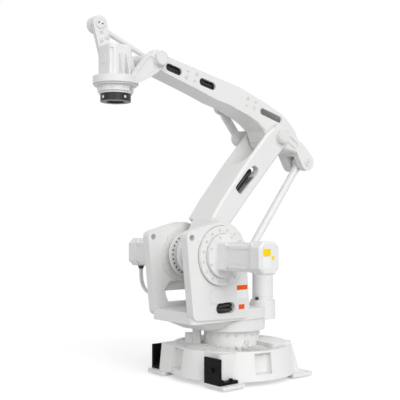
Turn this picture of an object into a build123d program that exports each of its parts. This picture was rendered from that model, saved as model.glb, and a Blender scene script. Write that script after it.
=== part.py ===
from build123d import *
from math import cos, sin, tan, radians, dist, acos, pi
import os

os.makedirs("parts", exist_ok=True)

# Driving dimensions in millimetres. X points forward, Y to the left, Z up.
# Axis one is the Z axis and the floor is Z = 0.
shoulder_x = 260.0
shoulder_z = 742.5
lower_arm_length = 945.0
upper_arm_length = 1025.0
wrist_reach = 220.0
wrist_drop = 252.0
lower_lean = -38.23
upper_dip = -20.79

# Rods of the parallel system
crank_length = 313.4
crank_offset = 7.64
drive_rod_radius = 24.0
drive_rod_near = 36.0
drive_rod_far = -12.0
lower_link_reach = 100.0
upper_link_x = 270.0
upper_link_z = 192.0
level_rod_near = -122.0
level_rod_far = -146.0
tilt_rod_near = -108.0
tilt_rod_far = -148.0
link_near = -154.0
link_far = -178.0
pin_fit = 0.05
open_fit = 1.0
part_gap = 0.3
side_gap = 6.0

# Base
base_radius = 385.0
base_low = 28.0
base_deck = 168.0
rib_top = 196.0
rib_count = 28
neck_radius = 170.0
neck_top = 284.0
foot_half = base_radius - 25.0
foot_shift = 20.0
foot_size = 165.0
pad_size = 110.0
pad_inset = 95.0
pad_height = 10.0
foot_plate = 20.0
spigot_depth = 40.0
collar_bore = 45.0
collar_depth = 120.0

# Turret
ring_radius = 205.0
ring_low = 286.0
ring_top = 358.0
deck_top = 425.0
near_inner = 150.0
near_outer = 205.0
far_inner = -160.0
far_outer = -215.0
gear_bore = 112.0
gear_radius = 173.0
near_gear_face = 223.0
far_gear_face = -262.0
far_ring_face = -152.0
far_ring_radius = 165.0
motor_width = 150.0
motor_height = 180.0
near_motor_end = 600.0
far_motor_end = -645.0
spigot_radius = 80.0
turn_motor_x = -150.0
turn_motor_y = 121.0
cable_diameter = 14.0
cable_spacing = 15.5
cable_entry_x = 412.0
cable_entry_z = 496.0

# Arms
hub_radius = 122.0
hub_near = 144.0
hub_far = -62.0
crank_neck = 58.0
lower_half = 116.0
cheek_inner = 94.0
cheek_boss = 147.0
elbow_pin = 30.0
wrist_pin = 24.0
upper_half = 70.0
elbow_half = 88.0
boss_radius = 48.0
wrist_inner = 76.0
wrist_half = 110.0
wrist_boss = 134.0
wall = 14.0
disc_radius = 84.0


def slab(sketch, y_one, y_two):
    low = min(y_one, y_two)
    high = max(y_one, y_two)
    return extrude(Plane.XZ.offset(-high) * sketch, amount=high - low, dir=(0, -1, 0))


def shaft(x, z, radius, y_one, y_two):
    return slab(Pos(x, z) * Circle(radius), y_one, y_two)


def hull(*rounds):
    edges = []
    for x, z, radius in rounds:
        edges += (Pos(x, z) * Circle(radius)).edges()
    return make_hull(edges)


def outline(points, radius=0.0):
    face = Polygon(*points, align=None)
    if radius > 0:
        face = fillet(face.vertices(), radius)
    return face


def slot(x, z, length, width, angle=0.0):
    return Pos(x, z) * Rot(0, 0, angle) * SlotOverall(length, width)


def disc(radius, z_low, z_high, x=0.0, y=0.0):
    return Pos(x, y, z_low) * extrude(Circle(radius), amount=z_high - z_low)


def block(width_x, width_y, z_low, z_high, x=0.0, y=0.0, corner=0.0):
    face = RectangleRounded(width_x, width_y, corner) if corner > 0 else Rectangle(width_x, width_y)
    return Pos(x, y, z_low) * extrude(face, amount=z_high - z_low)


def save(name, shape):
    shape.label = name
    export_step(shape, "parts/" + name + ".step")
    print(name, len(shape.solids()), round(shape.volume / 1e6, 3), "litres")


lean = radians(lower_lean)
dip = radians(upper_dip)
crank_angle = radians(upper_dip - crank_offset)
elbow_x = shoulder_x + lower_arm_length * sin(lean)
elbow_z = shoulder_z + lower_arm_length * cos(lean)
wrist_x = elbow_x + upper_arm_length * cos(dip)
wrist_z = elbow_z - upper_arm_length * sin(dip)
back_x = -crank_length * cos(crank_angle)
back_z = crank_length * sin(crank_angle)
crank_x = shoulder_x + back_x
crank_z = shoulder_z + back_z
rear_x = elbow_x + back_x
rear_z = elbow_z + back_z
ear_x = -crank_length * cos(radians(crank_offset))
ear_z = -crank_length * sin(radians(crank_offset))
disc_x = wrist_x + wrist_reach
face_z = wrist_z - wrist_drop
for name, x, z in (("elbow", elbow_x, elbow_z), ("wrist", wrist_x, wrist_z), ("crank pin", crank_x, crank_z),
                   ("rear pin", rear_x, rear_z), ("disc", disc_x, face_z)):
    print(name, round(x, 3), round(z, 3))

at_lower = Pos(shoulder_x, 0, shoulder_z) * Rot(0, lower_lean, 0)
at_upper = Pos(elbow_x, 0, elbow_z) * Rot(0, upper_dip, 0)
at_wrist = Pos(wrist_x, 0, wrist_z)

# Base casting: round body that narrows upwards, radial ribs inside a rim, neck and four feet
rim_radius = base_radius - 30
base = Pos(0, 0, base_low) * extrude(Circle(base_radius), amount=rib_top - base_low, taper=8)
base -= disc(rim_radius - 14, base_deck, rib_top + 1)
base += disc(neck_radius, base_deck, neck_top)
for number in range(rib_count):
    rib = block(rim_radius - neck_radius, 12, base_deck, rib_top, (rim_radius + neck_radius) / 2 - 8)
    base += Rot(0, 0, (number + 0.5) * 360.0 / rib_count) * rib
plate_top = pad_height + foot_plate
corners = [(side_x, side_y) for side_x in (1, -1) for side_y in (1, -1)]
for side_x, side_y in corners:
    corner_x = foot_shift + side_x * foot_half
    corner_y = side_y * foot_half
    mid_x = corner_x - side_x * foot_size / 2
    mid_y = corner_y - side_y * foot_size / 2
    low_x = corner_x - side_x * 110
    low_y = corner_y - side_y * 140
    high_x = foot_shift + side_x * (225 if side_x > 0 else 170)
    high_z = rib_top - 4 if side_x > 0 else rib_top + 20
    low = Pos(low_x, low_y, plate_top - 2) * RectangleRounded(170, 130, 24)
    high = Pos(high_x, side_y * 190, high_z) * RectangleRounded(180, 200, 30)
    base += block(foot_size, foot_size, pad_height, plate_top, mid_x, mid_y, 12)
    base += loft([low.face(), high.face()])
    base -= disc(13, 0, 60, corner_x - side_x * 30, corner_y - side_y * 30)
for angle in (-12, 78, 168, 258):
    pocket = Pos(rim_radius + 32, 0, 66) * extrude(RectangleRounded(120, 108, 16), amount=118)
    base -= Rot(0, 0, angle) * pocket
base += Rot(0, 0, -40) * block(54, 84, base_deck, neck_top - 4, 214, 0, 12)
base += Rot(0, 0, -40) * block(50, 60, base_deck, neck_top - 30, 262, 0, 12)
base -= disc(neck_radius - 60, neck_top - spigot_depth, neck_top + 1)
base += disc(collar_bore + 20, 0, base_low + 1)
base -= disc(collar_bore, -1, collar_depth)
# Black angle brackets on the two front feet, each a quarter turn from the other
bracket_x = foot_shift + foot_half
bracket_left = block(16, 135, plate_top, plate_top + 146, bracket_x - 8, foot_half - 102, 2)
bracket_left += block(140, 44, plate_top, plate_top + 16, bracket_x - 70, foot_half - 57, 3)
bracket_left -= Pos(bracket_x - 30, foot_half - 100, plate_top + 78) * Rot(0, 90, 0) * extrude(Circle(13), amount=60)
bracket_right = Pos(foot_shift, 0, 0) * Rot(0, 0, -90) * Pos(-foot_shift, 0, 0) * bracket_left
for name, bracket in (("floor_bracket_left", bracket_left), ("floor_bracket_right", bracket_right)):
    base -= bracket
    save(name, bracket)
save("base_casting", base)

for number, (side_x, side_y) in enumerate(corners):
    pad_x = foot_shift + side_x * (foot_half - pad_inset)
    pad_y = side_y * (foot_half - pad_inset)
    save("base_pad_" + str(number + 1), block(pad_size, pad_size, 0, pad_height, pad_x, pad_y, 10))

# Turret casting with slewing ring, spigot, deck, chin and two uprights
chin_low = Pos(190, 0, 306) * RectangleRounded(250, 230, 40)
chin_high = Pos(230, 0, ring_top + 1) * RectangleRounded(400, 350, 40)
side = hull((shoulder_x, shoulder_z, 195), (478, 848, 38), (430, 420, 40), (80, 410, 40))
turret = disc(212, ring_top, deck_top)
turret += block(465, 2 * near_outer - 20, ring_top, deck_top, 232.5, 0, 30)
turret += slab(side, near_inner, near_outer)
turret += slab(side, far_outer, far_inner)
turret += disc(ring_radius, ring_low, ring_top + 5)
turret += loft([chin_low.face(), chin_high.face()]) - disc(ring_radius + 12, 200, ring_top)
turret += disc(neck_radius - 60 - pin_fit, neck_top - spigot_depth + 4, ring_low + 1)
turret += disc(78, ring_top - 14, 442, turn_motor_x, turn_motor_y)
turret -= slab(Pos(478, 848) * Circle(17), -300, 300)
turret -= slab(slot(230, 440, 142, 62), near_inner - 60, near_outer + 5)
far_window = outline([(170, 452), (366, 452), (386, 500), (392, 534), (355, 578), (170, 578)], 10)
turret -= slab(far_window & (Pos(280, 465) * Rectangle(400, 110)), far_outer - 5, far_inner + 5)
turret -= slab(far_window, far_inner - 32, far_inner + 5)
turret -= slab(outline([(150, 470), (110, 590), (90, 590), (70, 470)], 12), far_outer - 5, far_inner + 5)
turret -= slab(slot(cable_entry_x, cable_entry_z, 52, 24), far_outer - 1, far_outer + 20)
turret -= slab(Pos(shoulder_x, shoulder_z) * Circle(gear_bore), -300, 300)
save("turret_casting", turret)

# Gear housings of axes two and three; the far one carries the fixed pin of the lower levelling rod
low_pin_x = shoulder_x - lower_link_reach
near_gear = shaft(shoulder_x, shoulder_z, gear_radius, near_outer, near_gear_face)
near_gear += shaft(shoulder_x, shoulder_z, gear_bore, near_inner, near_outer)
near_gear += shaft(shoulder_x, shoulder_z, 128, near_gear_face, near_gear_face + 20)
near_gear -= shaft(shoulder_x, shoulder_z, spigot_radius + pin_fit, 100, near_inner + 40)
save("near_gear_housing", near_gear)
far_gear = shaft(shoulder_x, shoulder_z, gear_radius, far_gear_face, far_outer)
far_gear += shaft(shoulder_x, shoulder_z, gear_bore, far_outer, far_inner)
far_gear += shaft(shoulder_x, shoulder_z, far_ring_radius, far_inner, far_ring_face)
far_gear += shaft(low_pin_x, shoulder_z, 24, far_inner, level_rod_far - part_gap)
far_gear += shaft(low_pin_x, shoulder_z, 14, far_inner, level_rod_near + 3)
far_gear -= shaft(shoulder_x, shoulder_z, crank_neck - 8 + pin_fit, far_ring_face - 40, -100)
save("far_gear_housing", far_gear)


# Motors of axes two and three: square body with scalloped corners and an eight-sided cap
def side_motor(y_start, y_end, sign):
    cut = 34.0
    half_x = motor_width / 2
    half_z = motor_height / 2
    cap = outline([(-half_x, -half_z + cut), (-half_x + cut, -half_z), (half_x - cut, -half_z),
                   (half_x, -half_z + cut), (half_x, half_z - cut), (half_x - cut, half_z),
                   (-half_x + cut, half_z), (-half_x, half_z - cut)])
    spot = Pos(shoulder_x, shoulder_z)
    inner = RectangleRounded(motor_width - 16, motor_height - 20, 12)
    join = y_end - sign * 76
    body = slab(spot * inner, y_start, join)
    for side_x in (1, -1):
        for side_z in (1, -1):
            corner_x = shoulder_x + side_x * (half_x - 6)
            corner_z = shoulder_z + side_z * (half_z - 8)
            body -= shaft(corner_x, corner_z, 21, y_start + sign * 74, join - sign * 12)
    panel = Pos(shoulder_x + half_x - 8, shoulder_z) * Rectangle(6, 88)
    body -= slab(panel, y_start + sign * 74, join - sign * 12)
    end = slab(spot * cap, join, y_end)
    end = chamfer(end.faces().sort_by(Axis.Y)[-1 if sign > 0 else 0].edges(), 9)
    return body, end


near_body, near_cap = side_motor(near_gear_face + 20, near_motor_end, 1)
save("near_motor", near_body)
save("near_motor_cap", near_cap)
far_body, far_cap = side_motor(far_gear_face, far_motor_end, -1)
save("far_motor", far_body)
save("far_motor_cap", far_cap)
turn_motor = disc(76, 442, 456, turn_motor_x, turn_motor_y)
turn_motor += disc(64, 456, 640, turn_motor_x, turn_motor_y)
turn_motor += disc(54, 640, 664, turn_motor_x, turn_motor_y)
save("turning_motor", turn_motor)

# Two cables of the far motor: out of its underside, down and round into the far upright
cable_x = shoulder_x + 8
cable_y = far_motor_end + 55
motor_low = shoulder_z - motor_height / 2
relief = disc(22, motor_low - 8, motor_low, cable_x, cable_y)
for name, offset in (("motor_cable_power", -cable_spacing / 2), ("motor_cable_signal", cable_spacing / 2)):
    start_x = cable_x + offset
    route = [(start_x, cable_y, motor_low - 22), (start_x + 1, cable_y + 2, motor_low - 82),
             (start_x + 14, cable_y + 40, motor_low - 127), (start_x + 47, cable_y + 120, motor_low - 154),
             (start_x + 92, cable_y + 245, motor_low - 164), (start_x + 146, far_outer + 6, motor_low - 158)]
    runs = [dist(first, second) for first, second in zip(route, route[1:])]
    radii = []
    for spot in range(1, len(route) - 1):
        before = [b - a for a, b in zip(route[spot - 1], route[spot])]
        after = [b - a for a, b in zip(route[spot], route[spot + 1])]
        turn = acos(sum(a * b for a, b in zip(before, after)) / (runs[spot - 1] * runs[spot]))
        radii.append(0.45 * min(runs[spot - 1], runs[spot]) / tan(turn / 2))
    print("cable runs", [round(run, 1) for run in runs], "radii", [round(radius, 1) for radius in radii])
    centre_line = FilletPolyline(*route, radius=radii)
    section = Plane(origin=route[0], z_dir=centre_line % 0) * Circle(cable_diameter / 2)
    cable = sweep(section, path=centre_line)
    section_area = pi * (cable_diameter / 2) ** 2
    print("length", round(centre_line.length, 1), "volume ratio", round(cable.volume / section_area / centre_line.length, 4))
    save(name, cable)
    relief += Pos(start_x, cable_y, motor_low - 21.0) * extrude(Circle(cable_diameter / 2 + 3), amount=16)
save("cable_relief", relief)

# Access cover on the near upright
cover = slab(Pos(292, 508) * RectangleRounded(100, 76, 6), near_outer, near_outer + 4)
save("access_cover", cover)

# Lower arm: hub, hollow box and fork with a round-bottomed opening
front_edge = [(110, 60), (128, 170), (133, 300), (128, 430), (122, 600), (108, lower_arm_length - 178),
              (98, lower_arm_length - 69), (81, lower_arm_length), (40, lower_arm_length + 57)]
back_edge = [(-71, lower_arm_length - 45), (-63, lower_arm_length - 88), (-49, 714), (-25, 466), (-8, 240),
             (-30, 150), (-96, 60)]
arm_face = outline(front_edge + back_edge, 0)
above = Pos(0, 770) * Rectangle(600, 1200)
arm = slab(arm_face & above, -lower_half, lower_half)
arm = chamfer(arm.edges().filter_by(lambda e: abs(abs(e.center().Y) - lower_half) < 0.1), 12)
arm += shaft(0, lower_arm_length, 74, -lower_half, lower_half)
inner_face = outline([(110, 190), (116, 300), (110, 430), (104, 590), (-18, 590), (-8, 466), (8, 240), (10, 190)], 10)
arm -= slab(inner_face, -lower_half + wall, lower_half - wall)
fork_start = lower_arm_length - 239
arm -= Pos(0, 0, fork_start) * Rot(0, 90, 0) * extrude(Circle(cheek_inner), amount=300, both=True)
arm -= Pos(0, 0, fork_start) * Box(500, 2 * cheek_inner, 500, align=(Align.CENTER, Align.CENTER, Align.MIN))
side_slot = outline([(40, 425), (100, 429), (88, 583), (62, 646), (22, 648), (12, 620)], 14)
arm -= slab(side_slot, -lower_half - 5, lower_half + 5)
arm += slab(arm_face & (Pos(0, 115) * Rectangle(600, 130)), hub_far, lower_half)
arm += shaft(0, 0, hub_radius, hub_far, hub_far + 32)
arm += shaft(0, 0, 100, hub_far, hub_near)
arm += shaft(0, 0, spigot_radius, hub_near, near_inner + 38)
arm -= shaft(0, 0, 45 + pin_fit, hub_far - 5, hub_far + 60)
arm -= slab(Pos(-140, 0) * Rectangle(114, 360), drive_rod_far - side_gap, drive_rod_near + side_gap)
arm += shaft(0, lower_arm_length, boss_radius, lower_half, cheek_boss)
arm += shaft(0, lower_arm_length, boss_radius, -lower_half, -cheek_boss - 1)
arm -= shaft(0, lower_arm_length, elbow_pin, -200, 200)
save("lower_arm", at_lower * arm)
pin = shaft(0, lower_arm_length, elbow_pin, -182, cheek_boss + 2)
save("elbow_pin", at_lower * pin)

# Crank, its pin and the drive rod
crank_face = hull((0, 0, 56), (ear_x, ear_z, 44))
crank = slab(crank_face, -lower_half, -72)
crank += shaft(0, 0, 136, -lower_half, -98)
crank += shaft(0, 0, crank_neck, far_ring_face, -lower_half)
crank += shaft(0, 0, crank_neck - 8, far_ring_face - 38, far_ring_face)
crank += shaft(0, 0, 45, -72, hub_far + 55)
crank -= shaft(ear_x, ear_z, 22 + pin_fit, -200, 100)
at_crank = Pos(shoulder_x, 0, shoulder_z) * Rot(0, upper_dip, 0)
save("crank", at_crank * crank)
crank_pin = shaft(crank_x, crank_z, 22, -lower_half, drive_rod_near + 8)
crank_pin += shaft(crank_x, crank_z, 32, -72 + part_gap, drive_rod_far - part_gap)
crank_pin += shaft(crank_x, crank_z, 31, drive_rod_near + part_gap, drive_rod_near + 9)
save("crank_pin", crank_pin)

rod = shaft(0, 0, 45, drive_rod_far, drive_rod_near)
rod += shaft(0, lower_arm_length, 44, drive_rod_far, drive_rod_near)
rod_mid = (drive_rod_far + drive_rod_near) / 2
rod += Pos(0, rod_mid, 0) * disc(drive_rod_radius, 20, lower_arm_length - 20)
rod += Pos(0, rod_mid, lower_arm_length - 95) * Cone(drive_rod_radius - 0.5, 32, 70, align=(Align.CENTER, Align.CENTER, Align.MIN))
rod = rod & (Pos(0, rod_mid, lower_arm_length / 2) * Box(200, drive_rod_near - drive_rod_far, lower_arm_length + 200))
rod -= shaft(0, 0, 22 + pin_fit, -50, 100)
rod -= shaft(0, lower_arm_length, 20 + open_fit, -50, 100)
save("drive_rod", Pos(crank_x, 0, crank_z) * Rot(0, lower_lean, 0) * rod)

# Upper arm: hollow box that narrows from the elbow to the wrist, with two rear ears
tip = upper_arm_length + 5
upper_top = [(tip, 44), (tip - 74, 59), (0.7 * tip, 98), (0.465 * tip, 136), (386, 146), (178, 156), (23, 156),
             (-79, 130), (-146, 96), (-185, 62), (-236, 54), (-256, 14)]
upper_bottom = [(-240, -22), (-150, -36), (-75, -56), (75, -64), (120, -15), (190, 6), (267, 14), (429, 10),
                (0.52 * tip, -6), (0.68 * tip, -16), (tip - 102, -36), (tip, -44)]
upper_face = outline(upper_top + upper_bottom, 0)
plan = Polygon((-300, -elbow_half), (140, -elbow_half), (0.6 * tip, -upper_half), (tip + 60, -upper_half),
               (tip + 60, upper_half), (0.6 * tip, upper_half), (140, elbow_half), (-300, elbow_half), align=None)
upper = slab(upper_face, -elbow_half, elbow_half)
upper = chamfer(upper.edges().filter_by(lambda e: abs(abs(e.center().Y) - elbow_half) < 0.1), 9)
upper = upper & (Pos(0, 0, -200) * extrude(plan, amount=500, dir=(0, 0, 1)))
upper += slab(Circle(92), -elbow_half, elbow_half)
upper += slab(Pos(upper_arm_length, 0) * Circle(46), -upper_half, upper_half)
upper -= slab(outline([(tip - 50, 30), (0.7 * tip, 84), (0.465 * tip, 122), (300, 134), (300, 28), (429, 24),
                       (0.68 * tip, -2), (tip - 50, -24)], 8), -upper_half + wall, upper_half - wall)
upper -= slab(outline([(250, 138), (60, 142), (-30, 120), (60, 60), (140, 24), (250, 26)], 8),
              -elbow_half + wall, elbow_half - wall)
for x, z, length, width, angle in ((upper_arm_length - 136, 12, 116, 44, -8), (0.616 * tip, 50, 126, 46, -9),
                                   (104, 98, 192, 42, -6)):
    upper -= slab(slot(x, z, length, width, angle), -elbow_half - 5, elbow_half + 5)
ears = slab(hull((ear_x, ear_z, 58), (-215, 12, 42)), -elbow_half, elbow_half)
rod_gap = outline([(ear_x - 150, ear_z - 170), (ear_x - 150, ear_z + 60), (ear_x + 24, ear_z + 60),
                   (ear_x + 40, ear_z + 26), (ear_x + 190, ear_z - 35), (ear_x + 190, ear_z - 170)])
ears -= slab(rod_gap, drive_rod_far - 8, drive_rod_near + 8)
upper -= slab(rod_gap, drive_rod_far - 8, drive_rod_near + 8)
upper += ears
for side_y in (1, -1):
    rim_slot = slab(slot(-132, 16, 112, 50, 14) - slot(-132, 16, 96, 34, 14), side_y * elbow_half, side_y * (elbow_half - 3))
    upper -= rim_slot
upper -= shaft(0, 0, elbow_pin + pin_fit, -200, 200)
upper -= shaft(ear_x, ear_z, 20, -200, 200)
upper -= shaft(upper_arm_length, 0, wrist_pin, -200, 200)
save("upper_arm", at_upper * upper)
save("rear_pin", at_upper * shaft(ear_x, ear_z, 20, -elbow_half - 3, elbow_half + 3))
save("wrist_pin", at_upper * shaft(upper_arm_length, 0, wrist_pin, -wrist_boss + 8, wrist_boss - 8))

# Levelling link on the elbow and the two levelling rods
at_elbow = Pos(elbow_x, 0, elbow_z)
link = slab(hull((-lower_link_reach, 0, 32), (0, 0, 60), (118, -2, 48)), link_far, link_near)
link += slab(hull((132, 20, 24), (upper_link_x - 14, upper_link_z - 24, 24)), link_far, link_near)
link += shaft(upper_link_x, upper_link_z, 48, link_far, link_near)
link -= shaft(0, 0, elbow_pin + pin_fit, -250, 0)
link += shaft(-lower_link_reach, 0, 14, link_near, level_rod_near + 2)
link += shaft(-lower_link_reach, 0, 22, link_near, level_rod_far - part_gap)
link += shaft(upper_link_x, upper_link_z, 16, link_near, tilt_rod_near + 3)
save("levelling_link", at_elbow * link)

level = shaft(0, 0, 26, level_rod_far, level_rod_near)
level += shaft(0, lower_arm_length, 26, level_rod_far, level_rod_near)
level_mid = (level_rod_far + level_rod_near) / 2
level += Pos(0, level_mid, 0) * disc(11.5, 20, lower_arm_length - 20)
level -= shaft(0, 0, 14 + pin_fit, -200, 0)
level -= shaft(0, lower_arm_length, 14 + open_fit, -200, 0)
save("lower_levelling_rod", Pos(low_pin_x, 0, shoulder_z) * Rot(0, lower_lean, 0) * level)

tilt_mid = (tilt_rod_far + tilt_rod_near) / 2
tilt = shaft(0, 0, 40, tilt_rod_far, tilt_rod_near)
tilt += shaft(upper_arm_length, 0, 48, tilt_rod_far, tilt_rod_near)
tilt += Pos(20, tilt_mid, 0) * Rot(0, 90, 0) * extrude(Circle(16), amount=upper_arm_length - 40)
tilt -= shaft(0, 0, 16 + pin_fit, -200, 0)
tilt -= shaft(upper_arm_length, 0, 16 + open_fit, -200, 0)
save("upper_levelling_rod", Pos(elbow_x + upper_link_x, 0, elbow_z + upper_link_z) * Rot(0, upper_dip, 0) * tilt)

# Tilt house: side arms, flange, stepped rings, gussets and lever
side_face = outline([(12, 50), (42, 42), (77, 16), (140, -60), (188, -116), (225, -120), (225, -165), (170, -162),
                     (114, -139), (60, -111), (5, -72), (-32, -42), (-49, 0), (-36, 34)], 9)
recess = outline([(52, 8), (82, -10), (150, -92), (150, -128), (120, -122), (62, -88), (30, -58)], 6)
house = slab(side_face, wrist_inner, wrist_half) + slab(side_face, -wrist_half, -wrist_inner)
house -= slab(recess, wrist_half - 4, wrist_half + 1)
house += shaft(0, 0, 42, wrist_half, wrist_boss)
house += shaft(0, 0, 42, -wrist_half, -wrist_boss)
house += disc(125, -158, -117, wrist_reach)
house += disc(116, -167, -158, wrist_reach)
house += disc(98, -200, -167, wrist_reach)
house += disc(90, -211, -200, wrist_reach)
lever = slab(hull((upper_link_x, upper_link_z, 45), (226, 20, 40)), -wrist_half + 6, -80)
lever += slab(outline([(266, 20), (264, -118), (150, -118), (110, -60), (90, 6), (150, 66), (200, 90)], 0), -wrist_half + 6, -80)
house += lever
for side_y in (1, -1):
    gusset = outline([(wrist_reach - 75, -118), (wrist_reach - 124, -118), (wrist_reach - 75, 10)], 0)
    house += slab(gusset, side_y * 34, side_y * 46)
house += shaft(upper_link_x, upper_link_z, 16, -wrist_half + 6, tilt_rod_far + 2)
house -= Pos(wrist_reach, 0, -190) * Rot(0, 0, 118) * Pos(98, 0, 0) * Box(26, 34, 24)
house -= shaft(0, 0, wrist_pin + pin_fit, -200, 200)
house -= disc(40 + pin_fit, -220, -180, wrist_reach)
save("tilt_house", at_wrist * house)
wrist_motor = block(150, 144, -117, 56, wrist_reach, 0, 34)
for side_x in (1, -1):
    for side_y in (1, -1):
        wrist_motor -= disc(15, -106, 30, wrist_reach + side_x * 72, side_y * 69)
wrist_motor = chamfer(wrist_motor.faces().sort_by(Axis.Z)[-1].edges(), 5)
save("wrist_motor", at_wrist * wrist_motor)
tool = disc(disc_radius, -wrist_drop, -213, wrist_reach)
tool += disc(40, -213, -181, wrist_reach)
tool -= disc(50, -wrist_drop, -wrist_drop + 8, wrist_reach)
save("turning_disc", at_wrist * tool)
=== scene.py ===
import math

import bmesh
import bpy
from mathutils import Matrix, Vector


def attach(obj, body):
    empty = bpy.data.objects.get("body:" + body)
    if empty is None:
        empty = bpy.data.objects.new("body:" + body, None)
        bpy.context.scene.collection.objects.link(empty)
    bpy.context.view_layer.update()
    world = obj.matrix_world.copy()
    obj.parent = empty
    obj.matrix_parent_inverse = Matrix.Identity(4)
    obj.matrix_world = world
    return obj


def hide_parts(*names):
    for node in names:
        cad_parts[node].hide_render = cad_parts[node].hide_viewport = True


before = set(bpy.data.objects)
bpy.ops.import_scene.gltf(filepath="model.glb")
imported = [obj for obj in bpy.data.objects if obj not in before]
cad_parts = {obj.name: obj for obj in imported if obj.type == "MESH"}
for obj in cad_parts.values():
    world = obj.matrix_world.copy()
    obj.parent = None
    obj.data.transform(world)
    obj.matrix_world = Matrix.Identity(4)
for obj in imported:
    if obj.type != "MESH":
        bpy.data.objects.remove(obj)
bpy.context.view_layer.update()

# Main sizes of the arm in millimetres and degrees, as the solids have them
MM = 0.001
SHAFT_X = 260.0
SHAFT_Z = 742.5
LOWER_ARM = 945.0
UPPER_ARM = 1025.0
CRANK = 313.4
ROD_PIN_REACH = 100.0
DISC_X = 220.0
LEVER_X = 270.0
LEVER_Z = 192.0
LEAN = math.radians(-38.23)
DIP = math.radians(-20.79)
CRANK_BEND = math.radians(7.64)

# Faces across the turret in millimetres, from the near side to the far side
NEAR_MOTOR_END = 600.0
NEAR_MOTOR_RING = 243.0
NEAR_HOUSING = 223.0
NEAR_UPRIGHT = 205.0
FAR_RING = -152.0
FAR_UPRIGHT = -215.0
FAR_HOUSING = -262.0
FAR_MOTOR_END = -645.0

# Places that pieces are drawn at: pivots in metres, and the matrices of the bodies at rest
X = Vector((1.0, 0.0, 0.0))
Y = Vector((0.0, 1.0, 0.0))
Z = Vector((0.0, 0.0, 1.0))
SHOULDER = Vector((SHAFT_X * MM, 0.0, SHAFT_Z * MM))
ELBOW = SHOULDER + LOWER_ARM * MM * Vector((math.sin(LEAN), 0.0, math.cos(LEAN)))
WRIST = ELBOW + UPPER_ARM * MM * Vector((math.cos(DIP), 0.0, -math.sin(DIP)))
WORLD = Matrix.Identity(4)
AT_LOWER = Matrix.Translation(SHOULDER) @ Matrix.Rotation(LEAN, 4, "Y")
AT_ELBOW = Matrix.Translation(ELBOW)
AT_UPPER = Matrix.Translation(ELBOW) @ Matrix.Rotation(DIP, 4, "Y")
AT_WRIST = Matrix.Translation(WRIST)


# Shader node helpers
def make_group(name, inputs, outputs):
    """New node group with named inputs and outputs, and the sockets inside it."""
    tree = bpy.data.node_groups.new(name, "ShaderNodeTree")
    for label, kind, value in inputs:
        socket = tree.interface.new_socket(name=label, in_out="INPUT", socket_type=kind)
        socket.default_value = value
    for label, kind in outputs:
        tree.interface.new_socket(name=label, in_out="OUTPUT", socket_type=kind)
    start = tree.nodes.new("NodeGroupInput")
    end = tree.nodes.new("NodeGroupOutput")
    return tree, start.outputs, end.inputs


def add_node(tree, kind, settings=None, values=None, links=None):
    made = tree.nodes.new(kind)
    for key, value in (settings or {}).items():
        setattr(made, key, value)
    for key, value in (values or {}).items():
        made.inputs[key].default_value = value
    for key, socket in (links or {}).items():
        tree.links.new(socket, made.inputs[key])
    return made


def place_group(tree, group, values=None, links=None):
    return add_node(tree, "ShaderNodeGroup", {"node_tree": group}, values, links)


def add_noise(tree, vector, scale, detail=2.0, roughness=0.5):
    values = {"Scale": scale, "Detail": detail, "Roughness": roughness}
    return add_node(tree, "ShaderNodeTexNoise", None, values, {"Vector": vector}).outputs["Fac"]


def add_math(tree, operation, first, second, clamp=False):
    made = add_node(tree, "ShaderNodeMath", {"operation": operation, "use_clamp": clamp})
    for place, value in enumerate((first, second)):
        if isinstance(value, (int, float)):
            made.inputs[place].default_value = value
        else:
            tree.links.new(value, made.inputs[place])
    return made.outputs[0]


def add_mix(tree, factor, first, second):
    made = add_node(tree, "ShaderNodeMix", {"data_type": "RGBA"})
    for key, socket in (("Factor", factor), ("A", first), ("B", second)):
        tree.links.new(socket, [s for s in made.inputs if s.name == key and s.enabled][0])
    return [s for s in made.outputs if s.enabled][0]


def add_ramp(tree, value, low, high):
    made = add_node(tree, "ShaderNodeMapRange", {"interpolation_type": "SMOOTHSTEP"},
                    {"From Min": low, "From Max": high}, {"Value": value})
    return made.outputs["Result"]


# Effects that the finishes share
# Grey of dirt, also used as painted shade in the hollows
DUST_AND_SHADE = (0.45, 0.44, 0.42, 1)


def build_rounded_edge():
    """Softened corners: the normal of a small radius, and a mask that is 1 on the corners."""
    tree, start, end = make_group("rounded_edge", [("Radius", "NodeSocketFloat", 0.003)],
                                  [("Normal", "NodeSocketVector"), ("Edge", "NodeSocketFloat")])
    bevel = add_node(tree, "ShaderNodeBevel", {"samples": 4}, None, {"Radius": start["Radius"]})
    geometry = tree.nodes.new("ShaderNodeNewGeometry")
    dot = add_node(tree, "ShaderNodeVectorMath", {"operation": "DOT_PRODUCT"}, None,
                   {0: bevel.outputs[0], 1: geometry.outputs["Normal"]})
    away = add_math(tree, "SUBTRACT", 1.0, dot.outputs["Value"])
    tree.links.new(bevel.outputs[0], end["Normal"])
    tree.links.new(add_ramp(tree, away, 0.02, 0.16), end["Edge"])
    return tree


def build_cast_grain():
    """Height of a painted casting: long waves, a sand texture under them and a fine orange peel."""
    inputs = [("Waves", "NodeSocketFloat", 9.0), ("Sand", "NodeSocketFloat", 260.0),
              ("Peel", "NodeSocketFloat", 0.3)]
    tree, start, end = make_group("cast_grain", inputs, [("Height", "NodeSocketFloat")])
    place = tree.nodes.new("ShaderNodeTexCoord").outputs["Object"]
    waves = add_node(tree, "ShaderNodeTexNoise", None, {"Detail": 2.0},
                     {"Vector": place, "Scale": start["Waves"]})
    sand = add_node(tree, "ShaderNodeTexNoise", None, {"Detail": 3.0},
                    {"Vector": place, "Scale": start["Sand"]})
    fine = add_math(tree, "MULTIPLY", sand.outputs["Fac"], 0.35)
    finest = add_math(tree, "MULTIPLY", add_noise(tree, place, 900.0, 1.0), start["Peel"])
    total = add_math(tree, "ADD", add_math(tree, "ADD", waves.outputs["Fac"], fine), finest)
    tree.links.new(total, end["Height"])
    return tree


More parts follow.
